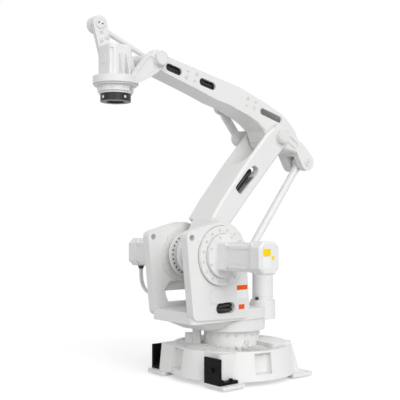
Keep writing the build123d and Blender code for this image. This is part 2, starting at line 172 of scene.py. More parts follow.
def build_dust_and_painted_shade():
    """Painted shade in the hollows, taken from the occlusion and broken by fine specks, and light handling
    dirt: faint cloudy patches and duller corners.
    """
    inputs = [("Finish", "NodeSocketColor", (0.8, 0.8, 0.8, 1)), ("Dust and shade", "NodeSocketColor", DUST_AND_SHADE),
              ("Amount", "NodeSocketFloat", 0.3), ("Edge", "NodeSocketFloat", 0.0),
              ("Gloss", "NodeSocketFloat", 0.4)]
    outputs = [("Color", "NodeSocketColor"), ("Roughness", "NodeSocketFloat")]
    tree, start, end = make_group("dust_and_painted_shade", inputs, outputs)
    place = tree.nodes.new("ShaderNodeTexCoord").outputs["Object"]
    cloud = add_ramp(tree, add_noise(tree, place, 3.5, 4.0, 0.6), 0.35, 0.75)
    speck = add_ramp(tree, add_noise(tree, place, 70.0, 3.0, 0.7), 0.45, 0.8)
    # Painted shade: the occlusion darkens the paint's colour in hollows and creases
    shade = add_node(tree, "ShaderNodeAmbientOcclusion", {"samples": 4}, {"Distance": 0.035})
    painted_shade = add_math(tree, "SUBTRACT", 1.0, shade.outputs["AO"])
    broken = add_math(tree, "ADD", 0.35, add_math(tree, "MULTIPLY", speck, 0.65))
    dust_and_shade = add_math(tree, "MULTIPLY", painted_shade, broken)
    dust_and_shade = add_math(tree, "ADD", dust_and_shade, add_math(tree, "MULTIPLY", cloud, 0.10))
    # Weight of the grey: painted shade in the hollows plus real cloudy dirt
    mask = add_math(tree, "MULTIPLY", dust_and_shade, start["Amount"], True)
    rubbed = add_math(tree, "MULTIPLY", add_math(tree, "MULTIPLY", start["Edge"], speck), 0.25)
    colour = add_mix(tree, mask, start["Finish"], start["Dust and shade"])
    colour = add_mix(tree, add_math(tree, "MULTIPLY", rubbed, start["Amount"]), colour, start["Dust and shade"])
    tree.links.new(colour, end["Color"])
    rough = add_math(tree, "ADD", start["Gloss"], add_math(tree, "MULTIPLY", cloud, 0.10))
    rough = add_math(tree, "ADD", rough, add_math(tree, "MULTIPLY", mask, 0.4), True)
    tree.links.new(rough, end["Roughness"])
    return tree


rounded_edge = build_rounded_edge()
cast_grain = build_cast_grain()
dust_and_painted_shade = build_dust_and_painted_shade()


def coated(name, colour, gloss, corner, waves, sand, depth, dust_and_shade_amount, metallic=0.0, dust_and_shade_colour=DUST_AND_SHADE, shine=0.5):
    """Finish with softened corners, a grained surface, dusty patches and painted shade in the hollows.
    Lengths are in metres.
    """
    material = bpy.data.materials.new(name)
    material.use_nodes = True
    tree = material.node_tree
    shader = tree.nodes["Principled BSDF"]
    soft = place_group(tree, rounded_edge, {"Radius": corner})
    grain = place_group(tree, cast_grain, {"Waves": waves, "Sand": sand, "Peel": 0.3})
    # Mixes the paint towards the grey: painted shade in the hollows and real dusty patches
    dust_and_shade = place_group(tree, dust_and_painted_shade,
                       {"Finish": colour + (1.0,), "Amount": dust_and_shade_amount, "Gloss": gloss, "Dust and shade": dust_and_shade_colour},
                       {"Edge": soft.outputs["Edge"]})
    bump = add_node(tree, "ShaderNodeBump", None, {"Strength": 1.0, "Distance": depth},
                    {"Height": grain.outputs["Height"], "Normal": soft.outputs["Normal"]})
    tree.links.new(bump.outputs["Normal"], shader.inputs["Normal"])
    tree.links.new(dust_and_shade.outputs["Color"], shader.inputs["Base Color"])
    tree.links.new(dust_and_shade.outputs["Roughness"], shader.inputs["Roughness"])
    shader.inputs["Metallic"].default_value = metallic
    shader.inputs["Specular IOR Level"].default_value = shine
    return material


# Paints of the castings, housings and base
# In each finish, the amount after depth sets both its dusty patches and the painted shade in its hollows
casting_paint = coated("casting_paint", (0.80, 0.80, 0.795), gloss=0.42, corner=0.004, waves=9.0, sand=260.0,
                       depth=0.0004, dust_and_shade_amount=0.45)
smooth_paint = coated("smooth_paint", (0.82, 0.82, 0.82), gloss=0.36, corner=0.0025, waves=4.0, sand=500.0,
                      depth=0.00015, dust_and_shade_amount=0.40)
base_paint = coated("base_paint", (0.82, 0.82, 0.815), gloss=0.42, corner=0.005, waves=7.0, sand=180.0,
                    depth=0.0005, dust_and_shade_amount=0.3)
painted_screw = coated("painted_screw", (0.74, 0.74, 0.735), gloss=0.4, corner=0.0006, waves=3.0, sand=600.0,
                       depth=0.0001, dust_and_shade_amount=0.45)

# Steel, black coatings, rubber and plastic
black_steel = coated("black_steel", (0.003, 0.003, 0.0035), gloss=0.42, corner=0.0015, waves=5.0, sand=300.0,
                     depth=0.0002, dust_and_shade_amount=0.05, dust_and_shade_colour=(0.12, 0.12, 0.12, 1), shine=0.1)
disc_black = coated("disc_black", (0.012, 0.012, 0.013), gloss=0.34, corner=0.0015, waves=3.0, sand=600.0,
                    depth=0.0001, dust_and_shade_amount=0.15, metallic=0.3)
pin_steel = coated("pin_steel", (0.56, 0.56, 0.57), gloss=0.3, corner=0.0015, waves=3.0, sand=600.0,
                   depth=0.0001, dust_and_shade_amount=0.2, metallic=1.0)
screw_steel = coated("screw_steel", (0.62, 0.62, 0.62), gloss=0.34, corner=0.0006, waves=3.0, sand=600.0,
                     depth=0.00005, dust_and_shade_amount=0.2, metallic=0.9)
cable_jacket = coated("cable_jacket", (0.78, 0.78, 0.775), gloss=0.5, corner=0.001, waves=6.0, sand=420.0,
                      depth=0.0002, dust_and_shade_amount=0.25)
relief_plastic = coated("relief_plastic", (0.03, 0.03, 0.032), gloss=0.5, corner=0.001, waves=6.0, sand=420.0,
                        depth=0.0002, dust_and_shade_amount=0.2)
hose_rubber = coated("hose_rubber", (0.008, 0.008, 0.009), gloss=0.2, corner=0.001, waves=30.0, sand=420.0,
                     depth=0.0001, dust_and_shade_amount=0.10)
seam_grey = coated("seam_grey", (0.16, 0.16, 0.16), gloss=0.6, corner=0.0005, waves=6.0, sand=420.0,
                   depth=0.00005, dust_and_shade_amount=0.3)

# Plain colour patches
orange_patch = coated("orange_patch", (0.9, 0.11, 0.002), gloss=0.4, corner=0.0005, waves=6.0, sand=420.0,
                      depth=0.00003, dust_and_shade_amount=0.15, shine=0.15)
yellow_patch = coated("yellow_patch", (0.93, 0.68, 0.003), gloss=0.4, corner=0.0005, waves=6.0, sand=420.0,
                      depth=0.00003, dust_and_shade_amount=0.15, shine=0.15)
blank_patch = coated("blank_patch", (0.88, 0.88, 0.90), gloss=0.3, corner=0.0005, waves=6.0, sand=420.0,
                     depth=0.00003, dust_and_shade_amount=0.15)

NODE_FINISH = {
    base_paint: ["base_casting"],
    smooth_paint: ["near_motor", "near_motor_cap", "far_motor", "far_motor_cap", "turning_motor",
                   "wrist_motor", "access_cover", "drive_rod", "lower_levelling_rod", "upper_levelling_rod",
                   "elbow_pin", "rear_pin", "wrist_pin"],
    casting_paint: ["turret_casting", "near_gear_housing", "far_gear_housing", "lower_arm", "crank",
                    "levelling_link", "upper_arm", "tilt_house"],
    pin_steel: ["base_pad_1", "base_pad_2", "base_pad_3", "base_pad_4", "crank_pin"],
    black_steel: ["floor_bracket_left", "floor_bracket_right"],
    disc_black: ["turning_disc"],
    cable_jacket: ["motor_cable_power", "motor_cable_signal"],
    relief_plastic: ["cable_relief"],
}
for finish, names in NODE_FINISH.items():
    for name in names:
        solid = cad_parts[name]
        solid.data.materials.clear()
        solid.data.materials.append(finish)


# Drawing helpers, all in millimetres
def aim(place, direction, turn=0.0):
    """Matrix that puts local Z on a direction, turned about it by an angle in degrees."""
    quarter = Vector(direction).to_track_quat("Z", "Y").to_matrix().to_4x4()
    return Matrix.Translation(Vector(place)) @ quarter @ Matrix.Rotation(math.radians(turn), 4, "Z")


def circle_places(centre, direction, radius, count, start=0.0, skip=None):
    """Places round a circle that faces along a direction, each turned so that no two sockets line up."""
    middle = aim(centre, direction)
    socket_turn = 1.7
    made = []
    for number in range(count):
        angle = start + 360.0 * number / count
        if skip and skip(angle % 360.0):
            continue
        turn = math.radians(angle)
        made.append(middle @ Matrix.Translation((radius * math.cos(turn), radius * math.sin(turn), 0.0))
                    @ Matrix.Rotation(turn * socket_turn, 4, "Z"))
    return made


def rim_places(centre, radius, angles):
    """Places on an upright rim, each facing outwards at an angle in degrees."""
    made = []
    for angle in angles:
        turn = math.radians(angle)
        outward = Vector((math.cos(turn), math.sin(turn), 0.0))
        made.append(aim(Vector(centre) + outward * radius, outward))
    return made


def on_both_sides(x, reach, z):
    """Two places that face away from each other, one on each side of a body."""
    return [aim((x, side * reach, z), Y * side) for side in (1, -1)]


def on_shaft(y):
    return SHAFT_X, y, SHAFT_Z


def bridge(shape, rows):
    """Faces between each row of corners and the next."""
    for low, high in zip(rows, rows[1:]):
        for step in range(len(low)):
            after = (step + 1) % len(low)
            shape.faces.new((low[step], low[after], high[after], high[step]))


def add_rings(shape, place, rings, segments=24):
    """Skin over a stack of rings, each a radius, a height and a count of flats (0 is round)."""
    rows = []
    for radius, height, flats in rings:
        row = []
        for step in range(segments if radius > 0 else 1):
            angle = 2.0 * math.pi * step / segments
            reach = radius
            if flats:
                part = math.pi / flats
                reach = radius * math.cos(part) / math.cos((angle + part) % (2.0 * part) - part)
            corner = Vector((reach * math.cos(angle), reach * math.sin(angle), height))
            row.append(shape.verts.new(place @ corner))
        rows.append(row)
    for low, high in zip(rows, rows[1:]):
        if len(high) > 1:
            bridge(shape, [low, high])
            continue
        for step in range(segments):
            shape.faces.new((low[step], low[(step + 1) % segments], high[0]))
    shape.faces.new(rows[0])


def add_socket_screw(shape, place, radius, height, washer=0.0):
    """Head of a hexagon socket screw, with a washer under it where one is asked for."""
    low = 0.0
    if washer > 0:
        low = 1.6
        add_rings(shape, place, [(washer, -0.5, 0), (washer, 1.2, 0), (washer - 0.5, low, 0), (0, low, 0)])
    add_rings(shape, place, [(radius, low - 0.5, 0), (radius, low + height * 0.8, 0),
                             (radius * 0.86, low + height, 0), (radius * 0.56, low + height, 6),
                             (radius * 0.52, low + height * 0.35, 6), (0, low + height * 0.3, 0)])


def add_hex_bolt(shape, place, radius, height, washer):
    """Head of a hexagon bolt on a round washer."""
    add_rings(shape, place, [(washer, -0.5, 0), (washer, 2.2, 0), (washer - 0.7, 2.8, 0), (0, 2.8, 0)])
    add_rings(shape, place, [(radius, 2.0, 6), (radius, height - 1.0, 6), (radius * 0.84, height, 0),
                             (radius * 0.4, height + 0.4, 0), (0, height + 0.4, 0)])


def add_cap(shape, place, radius, height, lines=(0.8, 0.45)):
    """Round cover with a chamfered rim and fine turned lines at shares of its radius."""
    rings = [(radius, -0.4, 0), (radius, height - 1.0, 0), (radius - 1.2, height, 0)]
    for share in lines:
        middle = radius * share
        rings += [(middle + 1.0, height + 0.05, 0), (middle + 0.3, height - 0.7, 0),
                  (middle - 0.3, height - 0.7, 0), (middle - 1.0, height + 0.1, 0)]
    add_rings(shape, place, rings + [(0, height + 0.2, 0)], 40)


def rounded_outline(width, depth, corner, arcs=6):
    """Corners of an oblong with round ends or corners."""
    row = []
    for quarter in range(4):
        centre_x = (width / 2 - corner) * (1 if quarter in (0, 3) else -1)
        centre_y = (depth / 2 - corner) * (1 if quarter < 2 else -1)
        for step in range(arcs + 1):
            angle = math.pi / 2 * (quarter + step / arcs)
            row.append((centre_x + corner * math.cos(angle), centre_y + corner * math.sin(angle)))
    return row


def add_pad(shape, place, width, depth, corner, height, bevel):
    """Flat plate with round corners and a small bevel on its upper edge."""
    rows = []
    for inset, level in ((0.0, -0.3), (0.0, height - bevel), (bevel, height)):
        outline = rounded_outline(width - 2 * inset, depth - 2 * inset, max(corner - inset, 0.1))
        rows.append([shape.verts.new(place @ Vector((x, y, level))) for x, y in outline])
    bridge(shape, rows)
    shape.faces.new(rows[0])
    shape.faces.new(rows[-1])


def add_band(shape, place, inner, outer, height):
    """Flat ring, such as a bead of sealant along a flange."""
    profile = [(outer, -0.3), (outer, height * 0.6), (outer - 0.5, height), (inner + 0.5, height),
               (inner, height * 0.6), (inner, -0.3)]
    segments = 96
    rows = []
    for radius, level in profile:
        row = []
        for step in range(segments):
            turn = 2.0 * math.pi * step / segments
            corner = Vector((radius * math.cos(turn), radius * math.sin(turn), level))
            row.append(shape.verts.new(place @ corner))
        rows.append(row)
    bridge(shape, rows + rows[:1])


def add_piece(name, body, material, shape, at=WORLD):
    """Makes a piece from a shape and lets it ride on a body."""
    sharp = math.radians(32.0)
    bmesh.ops.recalc_face_normals(shape, faces=shape.faces)
    for face in shape.faces:
        face.smooth = True
    for edge in shape.edges:
        edge.smooth = len(edge.link_faces) == 2 and edge.calc_face_angle(0.0) < sharp
    shape.transform(at @ Matrix.Scale(MM, 4))
    mesh = bpy.data.meshes.new(name)
    shape.to_mesh(mesh)
    shape.free()
    mesh.materials.append(material)
    made = bpy.data.objects.new(name, mesh)
    bpy.context.scene.collection.objects.link(made)
    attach(made, body)


def screws(name, body, material, places, radius, height, at=WORLD, washer=0.0):
    shape = bmesh.new()
    for place in places:
        add_socket_screw(shape, place, radius, height, washer)
    add_piece(name, body, material, shape, at)


def caps(name, body, material, places, radius, height, at=WORLD, lines=(0.8, 0.45)):
    shape = bmesh.new()
    for place in places:
        add_cap(shape, place, radius, height, lines)
    add_piece(name, body, material, shape, at)


def hose(name, body, material, points, radius, at=WORLD):
    """Smooth round line along a row of points."""
    data = bpy.data.curves.new(name, "CURVE")
    data.dimensions = "3D"
    data.bevel_depth = radius * MM
    data.bevel_resolution = 4
    data.use_fill_caps = True
    line = data.splines.new("NURBS")
    line.points.add(len(points) - 1)
    for spot, point in zip(line.points, points):
        spot.co = (at @ (Vector(point) * MM)).to_4d()
    line.order_u = 3
    line.use_endpoint_u = True
    line.resolution_u = 12
    data.materials.append(material)
    made = bpy.data.objects.new(name, data)
    bpy.context.scene.collection.objects.link(made)
    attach(made, body)
    return made


# Turret
def build_gear_housings():
    """Screw circles of the two gear housings, and the beads along their flanges."""
    near_circle = circle_places(on_shaft(NEAR_HOUSING), Y, radius=151.0, count=16, start=11.25)
    screws("near_flange_screws", "turret", painted_screw, near_circle, radius=7.0, height=5.0)
    small_circle = circle_places(on_shaft(NEAR_HOUSING), Y, radius=137.0, count=16)
    screws("near_flange_small_screws", "turret", painted_screw, small_circle, radius=3.6, height=1.6)
    motor_circle = circle_places(on_shaft(NEAR_MOTOR_RING), Y, radius=116.0, count=8, start=22.5)
    screws("near_motor_ring_screws", "turret", painted_screw, motor_circle, radius=6.0, height=5.0)
    far_circle = circle_places(on_shaft(FAR_HOUSING), -Y, radius=151.0, count=16, start=11.25)
    screws("far_flange_screws", "turret", painted_screw, far_circle, radius=7.0, height=5.0)
    inner_circle = circle_places(on_shaft(FAR_RING), Y, radius=150.0, count=24, start=7.5)
    screws("far_ring_screws", "turret", painted_screw, inner_circle, radius=4.5, height=2.2)
    shape = bmesh.new()
    add_band(shape, aim(on_shaft(NEAR_UPRIGHT), Y), inner=172.4, outer=175.2, height=0.8)
    add_band(shape, aim(on_shaft(NEAR_HOUSING), Y), inner=127.4, outer=129.6, height=0.8)
    add_band(shape, aim(on_shaft(FAR_UPRIGHT), -Y), inner=172.4, outer=175.2, height=0.8)
    add_piece("flange_seams", "turret", seam_grey, shape)


def build_side_motors():
    """End screws, side plates and plate screws of the two motors on the shoulder shaft."""
    corner_x = 48.0
    corner_z = 60.0
    end_places = [aim((SHAFT_X + side_x * corner_x, end, SHAFT_Z + side_z * corner_z), Y * side)
                  for side, end in ((1, NEAR_MOTOR_END), (-1, FAR_MOTOR_END))
                  for side_x in (-1, 1) for side_z in (-1, 1)]
    screws("motor_cap_screws", "turret", painted_screw, end_places, radius=4.2, height=0.9)
    side_face = 67.0
    plate_face = 63.985
    panel_screw_z = 52.5
    panel_places = [aim((SHAFT_X + side_face, y, SHAFT_Z + side_z * panel_screw_z), X)
                    for y in (332.0, 498.0, -552.0, -352.0) for side_z in (-1, 1)]
    screws("motor_panel_screws", "turret", screw_steel, panel_places, radius=3.4, height=2.2)
    shape = bmesh.new()
    for side in (-1, 1):
        for middle_y, length in ((415.0, 150.0), (-453.0, 165.0)):
            place = aim((SHAFT_X + side * plate_face, middle_y, SHAFT_Z), X * side)
            add_pad(shape, place, width=length, depth=74.0, corner=6.0, height=1.4, bevel=0.6)
    add_piece("motor_plates", "turret", smooth_paint, shape)


def build_turning_motor():
    """Flange screws, lid, bands and plug of the motor that stands on the deck."""
    middle = (-150.0, 121.0)
    screws("turning_motor_screws", "turret", painted_screw,
           circle_places((*middle, 456.0), Z, radius=69.0, count=6, start=20.0), radius=4.5, height=4.0)
    shape = bmesh.new()
    add_cap(shape, aim((*middle, 664.0), Z), radius=44.0, height=3.0, lines=(0.7, 0.3))
    band = [(64.2, 0, 0), (65.6, 1.2, 0), (65.6, 4.8, 0), (64.2, 6, 0)]
    for level in (470.0, 484.0, 626.0):
        add_rings(shape, aim((*middle, level), Z), band, segments=48)
    add_piece("turning_motor_bands", "turret", smooth_paint, shape)
    shape = bmesh.new()
    plug_place = aim((-88.0, 138.0, 470.0), (0.96, 0.27, 0.0))
    plug_height = 10.0
    add_pad(shape, plug_place, width=20.0, depth=16.0, corner=4.0, height=plug_height, bevel=2.0)
    add_rings(shape, plug_place @ Matrix.Translation((0.0, 0.0, plug_height)),
              [(6.0, -1, 0), (6.0, 5, 0), (5.0, 6, 0), (0, 6, 0)])
    add_piece("turning_motor_plug", "turret", relief_plastic, shape)


def build_upright_opening():
    """Opening in the near upright: a black plate behind it as painted shade for its dark inside, two hoses
    across it and a raised rim.
    """
    middle_x = 230.0
    middle_z = 440.0
    shape = bmesh.new()
    # Black plate inside the upright: painted shade where the opening looks into the turret
    shade_plate = aim((middle_x, 154.0, middle_z), Y)
    add_pad(shape, shade_plate, width=141.0, depth=61.0, corner=30.4, height=3.0, bevel=0.6)
    add_piece("opening_shade_plate", "turret", relief_plastic, shape)
    for number, (left_z, right_z) in enumerate(((426.0, 430.0), (453.0, 449.0)), 1):
        hose(f"opening_hose_{number}", "turret", hose_rubber,
             [(166.0, 176.0, left_z), (200.0, 186.0, left_z + 1.0), (255.0, 188.0, right_z),
              (294.0, 177.0, right_z + 2.0)], radius=11.5)
    shape = bmesh.new()
    place = aim((middle_x, NEAR_UPRIGHT, middle_z), Y)
    outer = rounded_outline(158.0, 78.0, 38.9, 10)
    inner = rounded_outline(144.0, 64.0, 31.9, 10)
    rows = []
    for outline, height in ((outer, -0.3), (outer, 1.6), (inner, 2.4), (inner, -0.3)):
        rows.append([shape.verts.new(place @ Vector((x, y, height))) for x, y in outline])
    bridge(shape, rows + rows[:1])
    add_piece("opening_rim", "turret", smooth_paint, shape)


def build_access_cover():
    """Four screws in the corners of the access cover."""
    cover_face = 209.0
    places = [aim((292.0 + x, cover_face, 508.0 + z), Y) for x in (-43.0, 43.0) for z in (-31.0, 31.0)]
    screws("cover_screws", "turret", painted_screw, places, radius=3.6, height=2.2)


def build_patches():
    """Thin plain patches on the near upright and on the end of the near motor."""
    patches = (
        ("orange_patches", orange_patch, ((99.0, NEAR_UPRIGHT, 552.0, 84.0, 27.0, 0.7, 0.3),
                                          (104.0, NEAR_UPRIGHT, 439.0, 46.0, 28.0, 0.7, 0.3))),
        ("yellow_patches", yellow_patch, ((283.0, NEAR_MOTOR_END, 773.0, 57.0, 40.0, 0.5, 0.2),
                                          (237.0, NEAR_MOTOR_END, 743.0, 20.0, 21.0, 0.5, 0.2))),
        ("blank_patches", blank_patch, ((99.0, NEAR_UPRIGHT, 512.0, 84.0, 46.0, 0.6, 0.3),
                                        (283.0, NEAR_MOTOR_END, 718.0, 57.0, 62.0, 0.5, 0.2))))
    for name, material, rows in patches:
        shape = bmesh.new()
        for x, y, z, width, depth, height, bevel in rows:
            add_pad(shape, aim((x, y, z), Y), width, depth, 2.0, height, bevel)
        add_piece(name, "turret", material, shape)


# Crank, elbow and the rods
def build_crank():
    """Ring of screws round the crank, its pin's covers, and the cover of the lower levelling rod's pivot."""
    pin_x = SHAFT_X - CRANK * math.cos(DIP - CRANK_BEND)
    pin_z = SHAFT_Z + CRANK * math.sin(DIP - CRANK_BEND)
    free_angle = 32.0

    def angle_on_shaft(x, z):
        return math.degrees(math.atan2(z - SHAFT_Z, x - SHAFT_X)) % 360.0

    def beside_crank(place):
        spot = place.translation
        return abs(angle_on_shaft(spot.x, spot.z) - angle_on_shaft(pin_x, pin_z)) > free_angle

    ring = circle_places(on_shaft(-98.0), Y, radius=121.0, count=28)
    screws("crank_ring_screws", "crank", black_steel, [place for place in ring if beside_crank(place)],
           radius=5.0, height=1.8)
    cap_height = 3.0
    near_end = 45.0
    pin_ends = [aim((pin_x, near_end, pin_z), Y), aim((pin_x, -116.0, pin_z), -Y)]
    caps("crank_pin_caps", "crank_pin", smooth_paint, pin_ends, radius=25.0, height=cap_height)
    screws("crank_pin_screws", "crank_pin", screw_steel, [aim((pin_x, near_end + cap_height, pin_z), Y)],
           radius=7.0, height=4.0)
    rod_pivot = aim((SHAFT_X - ROD_PIN_REACH, -122.0, SHAFT_Z), Y)
    caps("lower_pivot_cap", "turret", smooth_paint, [rod_pivot], radius=20.0, height=5.0)


def build_elbow():
    """Covers of the elbow's bearing, and the caps and screws of the levelling link."""
    bearing_lines = (0.84, 0.62, 0.3)
    caps("elbow_near_cap", "lower_arm", casting_paint, [aim((0.0, 147.0, LOWER_ARM), Y)], radius=40.0,
         height=4.0, at=AT_LOWER, lines=bearing_lines)
    caps("elbow_far_cap", "lower_arm", casting_paint, [aim((0.0, -178.4, LOWER_ARM), -Y)], radius=38.0,
         height=6.0, at=AT_LOWER, lines=bearing_lines)
    far_face = -178.0
    link_places = [aim((-ROD_PIN_REACH, -121.6, 0.0), Y), aim((-ROD_PIN_REACH, far_face, 0.0), -Y),
                   aim((LEVER_X, far_face, LEVER_Z), -Y)]
    caps("link_pin_caps", "levelling_link", smooth_paint, link_places, radius=20.0, height=3.4, at=AT_ELBOW)
    caps("link_top_cap", "levelling_link", smooth_paint, [aim((LEVER_X, -107.6, LEVER_Z), Y)], radius=25.0,
         height=4.4, at=AT_ELBOW)
    link_screws = [aim((x, -154.0, z), Y) for x, z in ((118.0, -2.0), (168.0, 66.0), (206.0, 116.0))]
    screws("link_screws", "levelling_link", painted_screw, link_screws, radius=6.0, height=4.0, at=AT_ELBOW,
           washer=10.0)


# The two arms
def build_lower_arm():
    """Screws at the foot of the arm, and six hoses behind its openings."""
    half = 116.0
    near = [aim((x, half, z), Y) for x, z in ((38.0, 205.0), (112.0, 150.0))]
    far = [aim((x, -half, z), -Y) for x, z in ((38.0, 205.0), (112.0, 190.0))]
    screws("lower_arm_screws", "lower_arm", painted_screw, near + far, radius=6.5, height=4.0, at=AT_LOWER,
           washer=10.0)
    offsets = ((-18.0, 56.0), (18.0, 60.0), (0.0, 24.0), (-18.0, -56.0), (18.0, -60.0), (0.0, -24.0))
    for number, (offset_x, y) in enumerate(offsets, 1):
        hose(f"lower_arm_hose_{number}", "lower_arm", hose_rubber,
             [(60 + offset_x, y, 250), (62 + offset_x, y, 340), (66 + offset_x, y, 440),
              (62 + offset_x, y, 540), (50 + offset_x * 0.8, y, 600), (46 + offset_x * 0.7, y * 0.9, 632)],
             radius=16.5, at=AT_LOWER)


def build_upper_arm():
    """Screw clusters on both tapered sides, covers of the rear pin, and six hoses that draw together."""
    taper_start, taper_end = 140.0, 618.0
    rear_half, front_half = 88.0, 70.0
    slope = (rear_half - front_half) / (taper_end - taper_start)
    sunk = 0.2
    large_spots = ((793, 14), (731, 67), (319, 113), (255, 78))
    small_spots = ((794, 54), (729, 24), (315, 67), (254, 122))

    def side_places(spots):
        made = []
        for x, z in spots:
            tapered = x <= taper_end
            half = rear_half - (x - taper_start) * slope if tapered else front_half
            for side in (1, -1):
                made.append(aim((x, side * (half - sunk), z), (slope if tapered else 0.0, side, 0.0)))
        return made

    screws("upper_arm_screws", "upper_arm", painted_screw, side_places(large_spots), radius=7.0, height=3.6,
           at=AT_UPPER, washer=13.0)
    screws("upper_arm_small_screws", "upper_arm", painted_screw, side_places(small_spots), radius=6.0,
           height=3.0, at=AT_UPPER, washer=8.5)
    rear_x = -CRANK * math.cos(CRANK_BEND)
    rear_z = -CRANK * math.sin(CRANK_BEND)
    cap_height = 4.6
    caps("rear_pin_caps", "upper_arm", casting_paint, on_both_sides(rear_x, rear_half, rear_z), radius=27.0,
         height=cap_height, at=AT_UPPER)
    screws("rear_pin_screws", "upper_arm", screw_steel, on_both_sides(rear_x, rear_half + cap_height, rear_z),
           radius=7.0, height=3.0, at=AT_UPPER)
    middle_line = ((300, 84), (430, 78), (560, 60), (640, 46), (760, 34), (880, 14), (955, 2))
    narrow_from = 900
    meeting_point = 2600.0
    offsets = ((40.0, 13.0), (42.0, -13.0), (12.0, 0.0), (-14.0, 10.0), (-40.0, 12.0), (-42.0, -13.0))
    for number, (y, offset_z) in enumerate(offsets, 1):
        points = []
        for x, z in middle_line:
            narrowed = 1.0 if x < narrow_from else 0.9
            points.append((x, y * narrowed, z + offset_z * (1.0 - x / meeting_point)))
        hose(f"upper_arm_hose_{number}", "upper_arm", hose_rubber, points, radius=12.0, at=AT_UPPER)


# Wrist
def build_lever():
    """Covers of the wrist's bearing, and the bosses and screws of the lever above it."""
    lever_face = -80.0
    cap_height = 4.0
    caps("wrist_pivot_caps", "tilt_house", casting_paint, on_both_sides(0.0, 134.0, 0.0), radius=40.0,
         height=3.0, at=AT_WRIST, lines=(0.9,))
    caps("lever_caps", "tilt_house", casting_paint, [aim((LEVER_X, lever_face, LEVER_Z), Y)], radius=30.0,
         height=cap_height, at=AT_WRIST, lines=(0.86,))
    dark_places = [aim((x, lever_face + cap_height, z), Y) for x, z in ((281.0, 196.0), (257.0, 192.0))]
    screws("lever_dark_screws", "tilt_house", relief_plastic, dark_places, radius=4.5, height=2.0,
           at=AT_WRIST)
    boss_spots = ((264.0, 150.0), (228.0, 122.0), (262.0, 100.0))
    boss_places = [aim((x, lever_face, z), Y) for x, z in boss_spots]
    caps("lever_bosses", "tilt_house", casting_paint, boss_places, radius=14.0, height=cap_height,
         at=AT_WRIST, lines=(0.7,))
    screw_places = [aim((x, -76.2, z), Y) for x, z in boss_spots]
    screws("lever_screws", "tilt_house", screw_steel, screw_places, radius=5.0, height=2.0, at=AT_WRIST)
    caps("lever_far_cap", "upper_levelling_rod", smooth_paint, [aim((LEVER_X, -148.0, LEVER_Z), -Y)],
         radius=30.0, height=4.0, at=AT_WRIST, lines=(0.8, 0.4))


def build_wrist_house():
    """Flange and ring screws, motor covers and the two ribs on the side of the wrist's motor."""
    def behind_motor(angle):
        return abs(angle % 180.0 - 90.0) < 50.0 or 130.0 < angle < 230.0

    flange = circle_places((DISC_X, 0.0, -117.0), Z, radius=112.0, count=20, start=9.0, skip=behind_motor)
    screws("wrist_flange_screws", "tilt_house", painted_screw, flange, radius=5.5, height=4.0, at=AT_WRIST)
    ring_angles = [36.0 * number + 12.0 for number in range(10)]
    ring = rim_places((DISC_X, 0.0, -184.0), radius=98.0, angles=ring_angles)
    screws("wrist_ring_screws", "tilt_house", painted_screw, ring, radius=4.5, height=3.0, at=AT_WRIST)
    shape = bmesh.new()
    top = 56.0
    top_height = 4.0
    add_pad(shape, aim((DISC_X, 0.0, top), Z), width=112.0, depth=104.0, corner=20.0, height=top_height,
            bevel=1.4)
    add_pad(shape, aim((295.0, 0.0, -20.0), X), width=30.0, depth=60.0, corner=6.0, height=2.0, bevel=0.8)
    add_pad(shape, aim((221.0, 72.0, -40.0), Y), width=26.0, depth=100.0, corner=6.0, height=2.0, bevel=0.8)
    add_piece("wrist_motor_covers", "tilt_house", smooth_paint, shape, AT_WRIST)
    top_places = [aim((DISC_X + x, y, top + top_height), Z) for x in (-42.0, 42.0) for y in (-38.0, 38.0)]
    screws("wrist_motor_screws", "tilt_house", painted_screw, top_places, radius=4.0, height=2.2, at=AT_WRIST)
    shape = bmesh.new()
    half_rib = 4.0
    corners = [(71.0, 6.0), (78.0, 4.0), (86.0, -20.0), (112.0, -117.0), (71.0, -117.0)]
    for middle_x in (200.0, 242.0):
        low = [shape.verts.new((middle_x - half_rib, y, z)) for y, z in corners]
        high = [shape.verts.new((middle_x + half_rib, y, z)) for y, z in corners]
        shape.faces.new(low)
        shape.faces.new(high)
        bridge(shape, [low, high])
    bmesh.ops.bevel(shape, geom=list(shape.edges), offset=1.2, segments=2, affect="EDGES")
    add_piece("wrist_ribs", "tilt_house", casting_paint, shape, AT_WRIST)


def build_disc():
    """Plugs round the turning disc and the sunk sockets in its face."""
    plug_angles = [90.0 * number + 5.0 for number in range(4)]
    plugs = rim_places((DISC_X, 0.0, -232.0), radius=84.0, angles=plug_angles)
    screws("disc_plugs", "turning_disc", screw_steel, plugs, radius=8.0, height=1.2, at=AT_WRIST)
    face = circle_places((DISC_X, 0.0, -252.0), -Z, radius=67.0, count=8, start=22.5)
    screws("disc_face_screws", "turning_disc", black_steel, face, radius=6.0, height=0.0, at=AT_WRIST)


